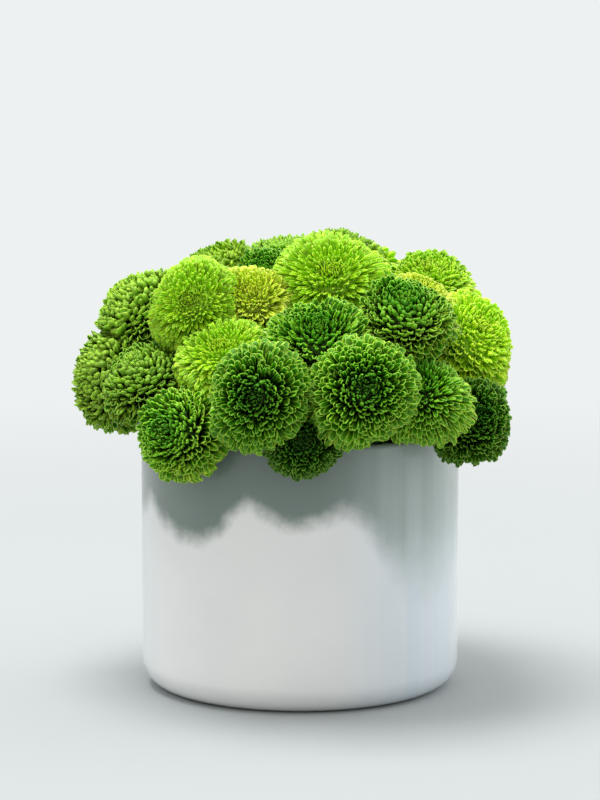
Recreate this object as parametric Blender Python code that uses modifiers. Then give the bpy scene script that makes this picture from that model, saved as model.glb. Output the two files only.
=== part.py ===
"""Cut pompon chrysanthemums in a round ceramic vase.

A low cylindrical vase holds a block of floral foam, domed above the rim. Short stems stand in
plain holes in the foam and carry button blooms that press against each other in one dome.
Metres, +Z up, +Y away from the viewer; the origin is the middle of the vase's foot.
"""
import math

import bmesh
import bpy
import numpy as np
from mathutils import Vector

MM = 0.001
CLEARANCE = 0.3 * MM

# Vase
VASE_RADIUS = 65 * MM
VASE_HEIGHT = 107 * MM
VASE_WALL = 4 * MM
VASE_FLOOR = 6 * MM
FOOT_ROUNDING = 11 * MM
INNER_ROUNDING = 8 * MM
RIM_ARC_STEPS = 4
FOOT_ARC_STEPS = 5
INNER_ARC_STEPS = 3
VASE_STEPS = 36
MERGE_DISTANCE = 0.01 * MM

# Floral foam
FOAM_RADIUS = VASE_RADIUS - VASE_WALL - CLEARANCE
FOAM_EDGE_HEIGHT = 103 * MM
FOAM_TOP_HEIGHT = 122 * MM
DOME_ARC_STEPS = 6
FOAM_STEPS = 24

# Stems
STEM_RADIUS = 1.5 * MM
STALK_RADIUS = 1.3 * MM
STEM_BEVEL = 1
HOLE_RADIUS = 2.2 * MM
HOLE_SIDES = 6
NECK = 4 * MM
RIM_PASS = 1.2 * MM
FORK_SHARE = 0.68
FORK_OVERLAP = 1.2 * MM
STEM_FOCUS = Vector((0, 0, 85 * MM))
STEM_END_DISTANCE = 18 * MM

# Bloom heads: the height of the crown, the size of the core, the depth and width of the flat
# seat under it, all as shares of the head's radius
HEAD_CROWN = 0.80
HEAD_CORE = 0.74
SEAT_DEPTH = 0.50
SEAT_WIDTH = 0.25
SEAT_SIDES = 6
PRESS_CLEARANCE = CLEARANCE / 2

# Florets: the core's area that each takes, how far round the head they reach, and how they lean,
# in radians: inwards near the eye, backwards below the shoulder
FLORET_AREA = 14.9 * MM ** 2
LOWEST_FLORET = math.radians(116)
SHOULDER = 1.2
INWARD_LEAN = 0.10
BACKWARD_LEAN = 0.07
LEAN_SCATTER = 0.03
SHORTEST_FLORET = 0.93
SEED = 7

# Each bloom's middle lies on the dome at an azimuth (0 in front, 90 to the right) and an
# elevation in degrees, at a reach in millimetres from the middle of the vase's mouth. Then come
# its width in millimetres, the azimuth and elevation that it faces, and its colour.
BLOOMS = (
    ("front_left_drooping", -37, 3.5, 75, 39, -30, 9, "green"),
    ("left_low", -59, 16, 74, 39, -40, 42, "green"),
    ("far_left", -87, 15, 77, 46, -72, 16, "green"),
    ("left_shoulder", -92, 35, 77, 46, -75, 48, "green"),
    ("left_crest", -52, 45, 74, 38, -10, 16, "lime"),
    ("back_left_crest", -108, 58, 68, 39, -70, 58, "lime"),
    ("top_left", -95, 78, 57, 37, -18, 44, "green"),
    ("top", 31, 66, 62, 50, -5, 38, "lime"),
    ("top_yellowing", -34, 57, 60, 38, -5, 42, "yellowing"),
    ("centre", 7, 33, 69, 42, 0, 28, "green"),
    ("front_left", -11, 15, 84, 42, 0, 8, "green"),
    ("left_middle", -29, 27, 64, 42, -22, 50, "lime"),
    ("front_right", 17, 16, 85, 43, 5, 22, "green"),
    ("right_shoulder", 41, 37, 79, 39, 0, 35, "green"),
    ("right_small", 39, 12, 79, 38, -20, 46, "green"),
    ("right", 73, 27, 78, 43, 35, 36, "lime"),
    ("right_low", 57, 4.5, 80, 36, 12, 24, "green"),
    ("right_crest", 97, 45, 76, 40, -10, 60, "lime"),
    ("right_yellowing", 66, 44, 72, 32, 20, 60, "yellowing"),
    ("front_low", 1, 3, 74, 31, 0, 8, "green"),
    ("back_right_low", 100, 8, 71, 41, 98, 12, "green"),
    ("back_low_1", 128, 6, 75, 43, 126, 12, "green"),
    ("back_low_2", 159, 7, 75, 45, 158, 10, "lime"),
    ("back_low_3", 191, 6, 76, 45, 192, 14, "green"),
    ("back_low_4", 221, 7, 75, 44, 220, 8, "green"),
    ("back_left_low", 247, 6, 76, 43, 250, 12, "green"),
    ("back_right", 122, 31, 74, 43, 118, 34, "green"),
    ("back_middle", 150, 29, 74, 45, 152, 32, "green"),
    ("back_left", 184, 32, 74, 45, 180, 38, "lime"),
    ("back_left_shoulder", 220, 33, 74, 45, 222, 36, "green"),
    ("back_upper_right", 147, 54, 70, 43, 144, 56, "lime"),
    ("back_upper_left", 194, 61, 69, 44, 196, 62, "green"),
    ("back_crest", 123, 74, 66, 42, 120, 76, "lime"),
)
# Pairs of blooms whose stalks fork from one stem above the foam, as in a cut spray
SPRAYS = (
    ("top", "top_left"),
    ("left_crest", "top_yellowing"),
    ("left_shoulder", "back_left_crest"),
    ("right_shoulder", "centre"),
    ("right_crest", "right_yellowing"),
    ("back_right", "back_middle"),
    ("back_left_shoulder", "back_left"),
    ("back_upper_right", "back_crest"),
)

# Colour, roughness and metallic value of each material
MATERIALS = {
    "green": ((0.10, 0.26, 0.02), 0.55, 0.0),
    "lime": ((0.24, 0.46, 0.03), 0.55, 0.0),
    "yellowing": ((0.42, 0.52, 0.12), 0.6, 0.0),
    "stem": ((0.12, 0.22, 0.05), 0.6, 0.0),
    "foam": ((0.05, 0.16, 0.07), 0.95, 0.0),
    "glaze": ((0.55, 0.58, 0.57), 0.25, 0.0),
}


def clear_scene():
    """Remove every object that a new file holds."""
    for old in list(bpy.data.objects):
        bpy.data.objects.remove(old, do_unlink=True)


def make_material(name):
    """A Principled material with the colour, roughness and metallic value of the table."""
    colour, roughness, metallic = MATERIALS[name]
    material = bpy.data.materials.new(name)
    material.use_nodes = True
    shader = material.node_tree.nodes["Principled BSDF"]
    shader.inputs["Base Color"].default_value = (*colour, 1)
    shader.inputs["Roughness"].default_value = roughness
    shader.inputs["Metallic"].default_value = metallic
    return material


def add_object(name, data, collection, material=None):
    """Link a mesh or curve to the scene as an object of this name."""
    obj = bpy.data.objects.new(name, data)
    collection.objects.link(obj)
    if material is not None:
        data.materials.append(material)
    return obj


def hide(obj):
    """Show a helper that only cuts or joins as wires."""
    obj.hide_render = True
    obj.display_type = "WIRE"


def arc(centre, radius, start, end, steps):
    """Points (radius, height) on an arc of a turned profile, both ends included."""
    angles = [start + (end - start) * i / steps for i in range(steps + 1)]
    return [(centre[0] + radius * math.cos(a), centre[1] + radius * math.sin(a)) for a in angles]


def turned(name, profile, steps, collection, material):
    """Turn a profile of (radius, height) points about Z with a Screw modifier."""
    mesh = bpy.data.meshes.new(name)
    edges = [(i, i + 1) for i in range(len(profile) - 1)]
    mesh.from_pydata([(r, 0, z) for r, z in profile], edges, [])
    obj = add_object(name, mesh, collection, material)
    screw = obj.modifiers.new("Turn", "SCREW")
    screw.steps = steps
    screw.render_steps = steps
    screw.use_merge_vertices = True
    screw.merge_threshold = MERGE_DISTANCE
    screw.use_smooth_shade = True
    return obj


def vase(collection, material):
    """The wall with a half-round rim, rounded at the foot and inside above the floor."""
    inner_radius = VASE_RADIUS - VASE_WALL
    rim = VASE_WALL / 2
    floor_round = arc((inner_radius - INNER_ROUNDING, VASE_FLOOR + INNER_ROUNDING),
                      INNER_ROUNDING, -math.pi / 2, 0, INNER_ARC_STEPS)
    rim_round = arc((VASE_RADIUS - rim, VASE_HEIGHT - rim), rim, math.pi, 0, RIM_ARC_STEPS)
    foot_round = arc((VASE_RADIUS - FOOT_ROUNDING, FOOT_ROUNDING),
                     FOOT_ROUNDING, 0, -math.pi / 2, FOOT_ARC_STEPS)
    profile = [(0, VASE_FLOOR), *floor_round, *rim_round, *foot_round, (0, 0)]
    return turned("vase", profile, VASE_STEPS, collection, material)


def foam(collection, material):
    """A foam block that fills the vase, with a domed top above the rim."""
    rise = FOAM_TOP_HEIGHT - FOAM_EDGE_HEIGHT
    dome_radius = (FOAM_RADIUS ** 2 + rise ** 2) / (2 * rise)
    centre_height = FOAM_TOP_HEIGHT - dome_radius
    edge_angle = math.atan2(FOAM_EDGE_HEIGHT - centre_height, FOAM_RADIUS)
    dome = arc((0, centre_height), dome_radius, math.pi / 2, edge_angle, DOME_ARC_STEPS)
    dome[0] = (0, FOAM_TOP_HEIGHT)
    bottom = VASE_FLOOR + CLEARANCE
    foot = arc((FOAM_RADIUS - INNER_ROUNDING, bottom + INNER_ROUNDING),
               INNER_ROUNDING, 0, -math.pi / 2, INNER_ARC_STEPS)
    return turned("floral_foam", [*dome, *foot, (0, bottom)], FOAM_STEPS, collection, material)


def direction(azimuth, elevation):
    """Unit vector at an azimuth from the front and an elevation, both in degrees."""
    turn = math.radians(azimuth)
    rise = math.radians(elevation)
    return Vector((math.cos(rise) * math.sin(turn), -math.cos(rise) * math.cos(turn), math.sin(rise)))


def read_blooms():
    """Turn the table into middles, radii and facing directions."""
    mouth = Vector((0, 0, VASE_HEIGHT))
    blooms = []
    for name, azimuth, elevation, reach, width, face_turn, face_rise, colour in BLOOMS:
        blooms.append({
            "name": name,
            "middle": mouth + direction(azimuth, elevation) * reach * MM,
            "radius": width / 2 * MM,
            "facing": direction(face_turn, face_rise),
            "colour": colour,
        })
    return blooms


def pressing_planes(bloom, blooms):
    """Planes that keep a head clear of its neighbours and of the vase.

    Two neighbours share a plane across the line between their middles, where the powers of the
    two spheres are equal. The vase's plane stands on its nearest point. Each plane is a unit
    normal and its distance from the head's middle.
    """
    planes = []
    middle = bloom["middle"]
    for other in blooms:
        across = other["middle"] - middle
        distance = across.length
        if other is bloom or distance > bloom["radius"] + other["radius"]:
            continue
        powers = bloom["radius"] ** 2 - other["radius"] ** 2
        planes.append((across / distance, (distance + powers / distance) / 2 - PRESS_CLEARANCE))
    outward = Vector((middle.x, middle.y, 0))
    if outward.length > VASE_RADIUS:
        rim_point = outward.normalized() * VASE_RADIUS + Vector((0, 0, VASE_HEIGHT))
    else:
        rim_point = Vector((middle.x, middle.y, VASE_HEIGHT))
    to_vase = rim_point - middle
    planes.append((to_vase.normalized(), to_vase.length - CLEARANCE))
    return planes


def floret_sites(count, radius):
    """Points in a golden-angle spiral on the head's core, from the eye down to the skirt."""
    step = np.arange(count) + 0.5
    height = 1 - step / count * (1 - math.cos(LOWEST_FLORET))
    turn = step * math.pi * (3 - math.sqrt(5))
    around = np.sqrt(1 - height ** 2)
    core = radius * HEAD_CORE
    return np.stack([core * around * np.cos(turn), core * around * np.sin(turn),
                     core * HEAD_CROWN * height], axis=1)


def tip_points(feet, radius, rng):
    """Move points on the core out to the tips of their florets.

    A tip lies on the head's outline, an ellipsoid of the full radius. Tips near the eye lean
    inwards over it and those of the skirt lean back, each with a little scatter in length.
    """
    outline = np.array([1, 1, HEAD_CROWN]) * radius
    rounded = feet / outline
    polar = np.arccos(rounded[:, 2] / np.linalg.norm(rounded, axis=1))
    turn = np.arctan2(feet[:, 1], feet[:, 0])
    inward = -INWARD_LEAN * np.sin(math.pi * polar / SHOULDER)
    backward = BACKWARD_LEAN * (polar - SHOULDER)
    polar = polar + np.where(polar < SHOULDER, inward, backward)
    polar = polar + rng.uniform(-LEAN_SCATTER, LEAN_SCATTER, len(feet))
    length = rng.uniform(SHORTEST_FLORET, 1, len(feet))
    unit = np.stack([np.sin(polar) * np.cos(turn), np.sin(polar) * np.sin(turn), np.cos(polar)], axis=1)
    return unit * outline * length[:, None]


def head(bloom, planes, rng, collection, material):
    """A bloom head: a small core that three-sided florets stand out of, all in one skin.

    The core is the convex hull of the floret sites and a flat seat for the stem. Every face of
    it between the sites is drawn out to a floret. Points beyond a pressing plane slide back to
    it along their own rays from the middle.
    """
    radius = bloom["radius"]
    core_area = 2 * math.pi * (radius * HEAD_CORE) ** 2 * (1 - math.cos(LOWEST_FLORET))
    count = round(core_area / FLORET_AREA / 2)
    sites = floret_sites(count, radius)
    corners = (2 * math.pi * (i + 0.5) / SEAT_SIDES for i in range(SEAT_SIDES))
    ring = [(math.cos(a) * radius * SEAT_WIDTH, math.sin(a) * radius * SEAT_WIDTH, -radius * SEAT_DEPTH)
            for a in corners]

    shape = bmesh.new()
    for point in [*sites, *ring]:
        shape.verts.new(point)
    bmesh.ops.convex_hull(shape, input=shape.verts)
    bmesh.ops.recalc_face_normals(shape, faces=shape.faces)
    shape.verts.ensure_lookup_table()
    seat = set(shape.verts[count:])
    drawn = [face for face in shape.faces if not seat.intersection(face.verts)]
    tips = bmesh.ops.poke(shape, faces=drawn)["verts"]
    moved = tip_points(np.array([tip.co for tip in tips]), radius, rng)
    for tip, place in zip(tips, moved):
        tip.co = place

    turn = bloom["facing"].to_track_quat("Z", "Y").to_matrix()
    for vertex in shape.verts:
        ray = turn @ vertex.co
        for normal, limit in planes:
            depth = ray.dot(normal)
            if depth > limit:
                ray *= limit / depth
        vertex.co = bloom["middle"] + ray
    mesh = bpy.data.meshes.new(bloom["name"])
    shape.to_mesh(mesh)
    shape.free()
    return add_object("bloom_" + bloom["name"], mesh, collection, material)


def neck(bloom):
    """Upper end of a stalk, under the head's seat, and the point where it starts to bend."""
    seat = bloom["middle"] - bloom["facing"] * (bloom["radius"] * SEAT_DEPTH + CLEARANCE)
    return seat, seat - bloom["facing"] * NECK


def entry_point(bend):
    """Where a stem turns towards the focus: the bend itself, or above the rim if it is outside.

    The stem of a bloom that hangs outside the vase clears the rim on its way in.
    """
    spread = math.hypot(bend.x, bend.y)
    mouth = VASE_RADIUS - VASE_WALL
    if spread <= mouth:
        return bend
    entry = STEM_FOCUS + (bend - STEM_FOCUS) * mouth / spread
    entry.z = max(entry.z, VASE_HEIGHT + STEM_RADIUS + RIM_PASS)
    return entry


def stem_foot(entry):
    """Lower end of a stem, short of the focus that all of them run to."""
    return STEM_FOCUS + (entry - STEM_FOCUS).normalized() * STEM_END_DISTANCE


def tube(name, points, radius, collection):
    """A round tube along the points as a mesh, its bend after the first point softened."""
    seat, bend, after = points[:3]
    onward = bend + (after - bend).normalized() * NECK / 2
    softened = ((seat + onward) / 2 + bend) / 2
    route = [seat, softened, onward, *points[2:]]
    curve = bpy.data.curves.new(name, "CURVE")
    curve.dimensions = "3D"
    spline = curve.splines.new("POLY")
    spline.points.add(len(route) - 1)
    for place, point in zip(spline.points, route):
        place.co = (*point, 1)
    curve.bevel_depth = radius
    curve.bevel_resolution = STEM_BEVEL
    curve.use_fill_caps = True
    line = add_object(name + "_line", curve, collection)
    evaluated = line.evaluated_get(bpy.context.evaluated_depsgraph_get())
    mesh = bpy.data.meshes.new_from_object(evaluated)
    mesh.name = name
    shape = bmesh.new()
    shape.from_mesh(mesh)
    bmesh.ops.remove_doubles(shape, verts=shape.verts, dist=MERGE_DISTANCE)
    bmesh.ops.recalc_face_normals(shape, faces=shape.faces)
    shape.to_mesh(mesh)
    shape.free()
    mesh.shade_smooth()
    bpy.data.objects.remove(line, do_unlink=True)
    return mesh


def stem(main_bloom, side_bloom, parts, cutters, material):
    """The stem of one bloom, or the forked stem of two; returns where it turns into the foam.

    A stem whose bend all but reaches that point turns there at once. The side stalk starts inside
    the main stem, just below the fork, and is joined to it.
    """
    seat, bend = neck(main_bloom)
    name = "stem_" + main_bloom["name"]
    if side_bloom is None:
        entry = entry_point(bend)
        out_to_bend = [bend] if (entry - bend).length > NECK else []
        route = [seat, *out_to_bend, entry, stem_foot(entry)]
        add_object(name, tube(name, route, STEM_RADIUS, parts), parts, material)
        return entry
    side_seat, side_bend = neck(side_bloom)
    fork = STEM_FOCUS.lerp((bend + side_bend) / 2, FORK_SHARE)
    foot = stem_foot(fork)
    main = add_object(name, tube(name, [seat, bend, fork, foot], STEM_RADIUS, parts), parts, material)
    start = fork + (foot - fork).normalized() * FORK_OVERLAP
    side_name = "stalk_" + side_bloom["name"]
    side = add_object(side_name, tube(side_name, [side_seat, side_bend, start], STALK_RADIUS, cutters),
                      cutters)
    hide(side)
    join = main.modifiers.new("Fork", "BOOLEAN")
    join.object = side
    join.operation = "UNION"
    join.solver = "EXACT"
    return fork


def hole_cutter(name, entry, collection):
    """A straight cutter along the part of a stem that stands in the foam."""
    foot = stem_foot(entry)
    inward = (foot - entry).normalized()
    end = foot + inward * CLEARANCE
    shape = bmesh.new()
    bmesh.ops.create_cone(shape, cap_ends=True, segments=HOLE_SIDES, radius1=HOLE_RADIUS,
                          radius2=HOLE_RADIUS, depth=(end - entry).length)
    turn = inward.to_track_quat("Z", "Y").to_matrix().to_4x4()
    turn.translation = (entry + end) / 2
    bmesh.ops.transform(shape, matrix=turn, verts=shape.verts)
    mesh = bpy.data.meshes.new("hole_" + name)
    shape.to_mesh(mesh)
    shape.free()
    hide(add_object("hole_" + name, mesh, collection))


def main():
    clear_scene()
    parts = bpy.data.collections.new("pompon_chrysanthemums")
    cutters = bpy.data.collections.new("cutters")
    hole_cutters = bpy.data.collections.new("stem_holes")
    bpy.context.scene.collection.children.link(parts)
    bpy.context.scene.collection.children.link(cutters)
    cutters.children.link(hole_cutters)
    materials = {name: make_material(name) for name in MATERIALS}

    vase(parts, materials["glaze"])
    block = foam(parts, materials["foam"])
    blooms = read_blooms()
    for number, bloom in enumerate(blooms):
        rng = np.random.default_rng(SEED + number)
        planes = pressing_planes(bloom, blooms)
        head(bloom, planes, rng, parts, materials[bloom["colour"]])

    by_name = {bloom["name"]: bloom for bloom in blooms}
    side_blooms = dict(SPRAYS)
    for name, bloom in by_name.items():
        if name in side_blooms.values():
            continue
        side = by_name.get(side_blooms.get(name))
        entry = stem(bloom, side, parts, cutters, materials["stem"])
        hole_cutter(name, entry, hole_cutters)
    holes = block.modifiers.new("Stem holes", "BOOLEAN")
    holes.operand_type = "COLLECTION"
    holes.collection = hole_cutters
    holes.operation = "DIFFERENCE"
    holes.solver = "EXACT"


main()
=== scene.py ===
"""Looks of the cut pompon chrysanthemums in their round ceramic vase.

Every bloom is dressed with separate cupped florets, around the same middle and at the same size as
its solid. Some blooms face a little differently from their solids, and some are flatter on one
side. The vase is turned finer and glazed. Metres, +Z up, the viewer at -Y.
"""

import math

import bpy
import numpy as np
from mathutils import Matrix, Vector


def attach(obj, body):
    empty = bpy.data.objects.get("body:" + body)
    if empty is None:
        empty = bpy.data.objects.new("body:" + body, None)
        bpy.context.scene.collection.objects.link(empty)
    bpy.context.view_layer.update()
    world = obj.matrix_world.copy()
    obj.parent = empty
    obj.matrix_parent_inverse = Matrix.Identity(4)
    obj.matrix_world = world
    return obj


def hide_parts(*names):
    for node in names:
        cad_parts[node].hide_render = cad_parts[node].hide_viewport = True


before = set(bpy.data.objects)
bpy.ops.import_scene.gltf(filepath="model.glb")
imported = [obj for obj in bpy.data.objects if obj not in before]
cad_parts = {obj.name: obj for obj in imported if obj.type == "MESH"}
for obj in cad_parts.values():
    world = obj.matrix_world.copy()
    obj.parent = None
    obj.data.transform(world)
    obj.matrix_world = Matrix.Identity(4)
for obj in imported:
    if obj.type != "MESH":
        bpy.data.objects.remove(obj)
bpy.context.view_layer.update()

MM = 0.001

# Vase, as in the solid model
VASE_RADIUS = 65 * MM
VASE_HEIGHT = 107 * MM
VASE_WALL = 4 * MM
VASE_FLOOR = 6 * MM
FOOT_ROUNDING = 11 * MM
INNER_ROUNDING = 8 * MM
CLEARANCE = 0.3 * MM

# Mesh of the vase: steps around it and up its wall, and how far from the roundings the rows lie
# that keep the underside flat and the inner wall straight
VASE_STEPS = 160
WALL_ROWS = 20
UNDERSIDE_ROW = 14 * MM
INNER_ROW = 30 * MM

# The line of the painted reflection, where the white that stands for the reflection of a white
# cloth meets the grey that stands for darker surroundings: turn from the front in degrees, to the
# right, and height in mm; how softly it blends, in mm; the share of a paler painted sheen that
# stands for bright surroundings, mostly on the right; the steps in which the line is worked out
# and rounded; and its height and softness at the points on the vase's axis
PAINTED_REFLECTION_LINE = ((-170, 66), (-150, 78), (-132, 70), (-112, 82), (-96, 72), (-80, 74), (-74, 77), (-68, 81),
              (-62, 77), (-56, 72), (-47, 69), (-37, 67.5), (-29, 73), (-24, 80), (-18.5, 86), (-13, 81),
              (-8, 78), (0, 75.5), (6, 77.5), (11, 80.5), (16, 81.5), (20, 80), (24, 76), (28, 70), (33, 63),
              (40, 58), (52, 56), (66, 60), (84, 66), (104, 72), (118, 68), (134, 80), (148, 72), (166, 60))
PAINTED_REFLECTION_SOFTNESS = ((-90, 6), (-20, 5.5), (8, 5.5), (16, 7), (24, 10), (34, 15), (50, 24), (80, 24), (100, 9),
                  (140, 5.5))
PAINTED_SHEEN = ((-120, 0.1), (-88, 0.6), (-70, 0.35), (-58, 0.08), (-20, 0), (8, 0.02), (20, 0.25),
                  (32, 0.66), (46, 0.92), (66, 0.92), (88, 0.75), (120, 0.2), (150, 0))
LINE_STEPS = 720
LINE_ROUNDING_STEPS = 7
POLE_LINE = 60 * MM
POLE_SOFTNESS = 2 * MM

# Bloom heads: the radius that the florets' spacing is given for, the height of the crown and the
# depth and width of the seat as shares of the head's radius, and the core's mesh
USUAL_RADIUS = 21 * MM
HEAD_CROWN = 0.80
SEAT_DEPTH = 0.50
SEAT_WIDTH = 0.25
CORE_EDGE = 2.25
CORE_ROWS = 8
CORE_STEPS = 20
SEED = 7

# Azimuth and elevation of each bloom's middle on the dome, its reach from the middle of the
# vase's mouth and its width in millimetres, where it faces, and its colour
BLOOMS = (
    ("front_left_drooping", -37, 3.5, 75, 39, -39, 13, "green"),
    ("left_low", -59, 16, 74, 39, -52, 64, "green"),
    ("far_left", -87, 15, 77, 46, -72, 16, "green"),
    ("left_shoulder", -92, 35, 77, 46, -75, 48, "green"),
    ("left_crest", -52, 45, 74, 38, -10, 16, "lime"),
    ("back_left_crest", -108, 58, 68, 39, -70, 58, "lime"),
    ("top_left", -95, 78, 57, 37, -18, 44, "green"),
    ("top", 31, 66, 62, 50, -5, 38, "lime"),
    ("top_yellowing", -34, 57, 60, 38, -5, 42, "yellowing"),
    ("centre", 7, 33, 69, 42, 0, 44, "green"),
    ("front_left", -11, 15, 84, 42, -8, 8, "green"),
    ("left_middle", -29, 27, 64, 42, -22, 50, "lime"),
    ("front_right", 17, 16, 85, 43, 5, 15, "green"),
    ("right_shoulder", 41, 37, 79, 39, -6, 54, "green"),
    ("right_small", 39, 12, 79, 38, -20, 46, "green"),
    ("right", 73, 27, 78, 43, 35, 36, "lime"),
    ("right_low", 57, 4.5, 80, 36, 12, 24, "green"),
    ("right_crest", 97, 45, 76, 40, -10, 60, "lime"),
    ("right_yellowing", 66, 44, 72, 32, 20, 60, "yellowing"),
    ("front_low", 1, 3, 74, 31, 0, 8, "green"),
    ("back_right_low", 100, 8, 71, 41, 98, 12, "green"),
    ("back_low_1", 128, 6, 75, 43, 126, 12, "green"),
    ("back_low_2", 159, 7, 75, 45, 158, 10, "lime"),
    ("back_low_3", 191, 6, 76, 45, 192, 14, "green"),
    ("back_low_4", 221, 7, 75, 44, 220, 8, "green"),
    ("back_left_low", 247, 6, 76, 43, 250, 12, "green"),
    ("back_right", 122, 31, 74, 43, 118, 34, "green"),
    ("back_middle", 150, 29, 74, 45, 152, 32, "green"),
    ("back_left", 184, 32, 74, 45, 180, 38, "lime"),
    ("back_left_shoulder", 220, 33, 74, 45, 222, 36, "green"),
    ("back_upper_right", 147, 54, 70, 43, 144, 56, "lime"),
    ("back_upper_left", 194, 61, 69, 44, 196, 62, "green"),
    ("back_crest", 123, 74, 66, 42, 120, 76, "lime"),
)

# Blooms that grew flatter on one side: azimuth and elevation of that side, and its distance from
# the bloom's middle in millimetres
FLATTENED = {"right_small": (0, -90, 13), "front_right": (0, -90, 21), "back_upper_left": (-60, 76, 11.5),
             "front_left": (-90, 0, 17.5), "left_low": (0, -90, 15), "far_left": (0, -90, 19),
             "right_low": (0, -90, 12.5), "left_shoulder": (0, 90, 18.5), "back_left_low": (0, -90, 12)}

# How heads meet: the gap within which two press on each other, how far either stays behind the
# plane between them, how far florets reach past it, how much longer those grow that stand towards
# a neighbour and what the skirt loses of that, how far round from the neighbour and from the eye
# both go, the share of its length at which a floret is left out as crushed, and a share that
# stands for no limit
NEAR = 6 * MM
PRESS_CLEARANCE = CLEARANCE / 2
INTERLEAVE = 1.5 * MM
FILL = 0.09
SKIRT_LOSS = 0.4
FILLED_SIDE = (0.40, 0.80)
LOSING_SKIRT = (1.0, 1.5)
CRUSHED = 0.68
UNPRESSED = 9.0

# Sight: the share of a head's radius that hides what lies behind it, and the rays from each point
# with the height of the lowest one's direction
SCREEN = 0.91
SIGHT_RAYS = 90
LOWEST_SIGHT = -0.45

# Florets by their polar angle from the eye in radians: the lowest ones, their spacing in mm, the
# area that each takes as a share of its spacing squared, and the steps in which they are counted
LOWEST_FLORET = math.radians(118)
SPACING_AT = (0, 0.10, 0.20, 0.42, 0.70, 1.35, 1.7, 2.1)
SPACING = (0.65, 1.00, 1.70, 2.50, 2.95, 3.05, 3.3, 3.7)
AREA_SHARE = 0.9
COUNTING_STEPS = 400

# Florets by age, which is their polar angle over the angle at which their style's florets open:
# width as a share of the spacing, and the angle in radians that the section curls through
WIDTH_AT = (0, 0.25, 0.45, 0.70, 1.00, 2.10)
WIDTH = (0.60, 0.58, 0.70, 0.94, 1.14, 1.20)
CURL_AT = (0, 0.30, 0.60, 0.90, 1.30, 2.10)
CURL = (3.8, 3.8, 3.6, 2.8, 2.0, 1.5)

# Polar angles over which the skirt begins, a bloom opens and its outline swells, and ages over
# which florets leave the bud, turn from the eye, grow blunt tips and widen to spoons
SKIRT = (1.1, 1.9)
OPENING = (0.10, 0.75)
SWELLING = (0.2, 0.8)
LEAVING_BUD = (0.12, 0.40)
TURNING_OUT = (0.35, 0.95)
BLUNTING = (0.38, 0.75)
SPOONING = (0.30, 0.90)

# Florets along their length: share of the width, share of the curl, and how far the edges lag
# behind the middle as a share of the width, with the least share of that lag near the eye; the
# width of a pointed tip and how much wider a blunt one is; and the thickness of the blade
TAPER_AT = (0, 0.45, 0.75, 0.90, 1.0)
TAPER = (0.42, 0.66, 1.0, 0.92, 0.0)
ALONG_AT = (0, 0.7, 1.0)
CURL_SHARE = (0.8, 1.0, 1.1)
LAG = (0, 0.10, 0.30)
LEAST_LAG = 0.3
POINTED_TIP = 0.40
BLUNTER_TIP = 0.32
BLADE = 0.34 * MM

# Paths: how deep in the head a floret roots and bends, as shares of its size; lean of the tips
# near the eye and at the skirt in radians; and the hood's least height, the skirt's droop, as
# shares of the width, with where along the length both begin
ROOT_DEPTH = 0.46
BELLY_DEPTH = 0.78
EYE_LEAN = -0.05
SKIRT_LEAN = 0.10
LEAST_HOOD = 0.06
SKIRT_DROOP = 0.20
HOOD_FROM = 0.55

# Chance: how far florets reach as a share of the head, how much more at the skirt, how high they
# hood, how far the outline swells in two and in three lumps, and the spread of the florets'
# places, lean, width, sway, roll and tone
REACH = (0.88, 1.01)
SKIRT_REACH = (-0.02, 0.10)
HOOD_CHANCE = (0.5, 1.5)
TWO_LUMPS = 0.05
THREE_LUMPS = 0.03
SCATTER = 0.16
LEAN_SPREAD = 0.045
WIDTH_SPREAD = 0.13
SWAY_SPREAD = 0.24
ROLL_SPREAD = 0.30
TONE_SPREAD = 0.12

# Section of a floret: places from edge to edge of its back, then of its hollow, and the corners
# of the triangles that close its ends. Those near the eye are small buds of fewer faces.
BUD_SECTION = ((-1, 0, 1), (0,), ((0, 1, 3), (1, 2, 3)))
SPOON_SECTION = ((-1, -0.45, 0.45, 1), (0.45, -0.45), ((0, 1, 5), (1, 2, 5), (2, 4, 5), (2, 3, 4)))
BUD_REACH = 0.24
BUD_STATIONS = (0.30, 0.80, 1.0)
SPOON_STATIONS = (0.25, 0.66, 0.88, 1.0)
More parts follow.
